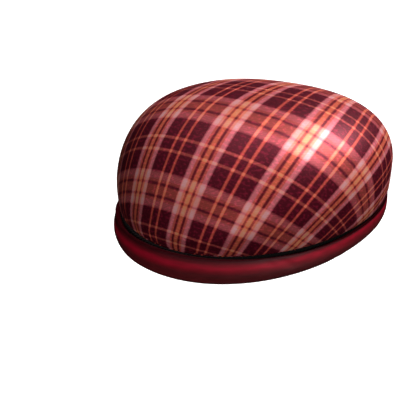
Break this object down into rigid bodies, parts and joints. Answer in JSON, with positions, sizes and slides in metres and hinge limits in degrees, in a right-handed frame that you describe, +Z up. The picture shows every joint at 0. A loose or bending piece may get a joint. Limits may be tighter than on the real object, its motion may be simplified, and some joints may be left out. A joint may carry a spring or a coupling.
{
  "type": "flat cap",
  "caption": "Domed plaid flat cap that slopes to the front, with thin black piping in the seam and a padded dark red roll round the head, hollow for the head.",
  "frame": {"origin": "middle of the cap's box at its base, on the surface that the band rests on", "axes": "+Z up, front of the cap towards -Y, the wearer's left side towards +X"},
  "size_m": [0.1852, 0.2336, 0.0895],
  "materials": {
    "plaid_cloth": "brushed twill woven in a maroon, pink and orange plaid, with a soft satin sheen",
    "black_cord": "matte black twisted cord",
    "red_padding": "dark red satin-faced cloth over soft wadding"
  },
  "bodies": {
    "root": {"crown": "plaid_cloth", "piping": "black_cord", "band": "red_padding"}
  },
  "joints": []
}
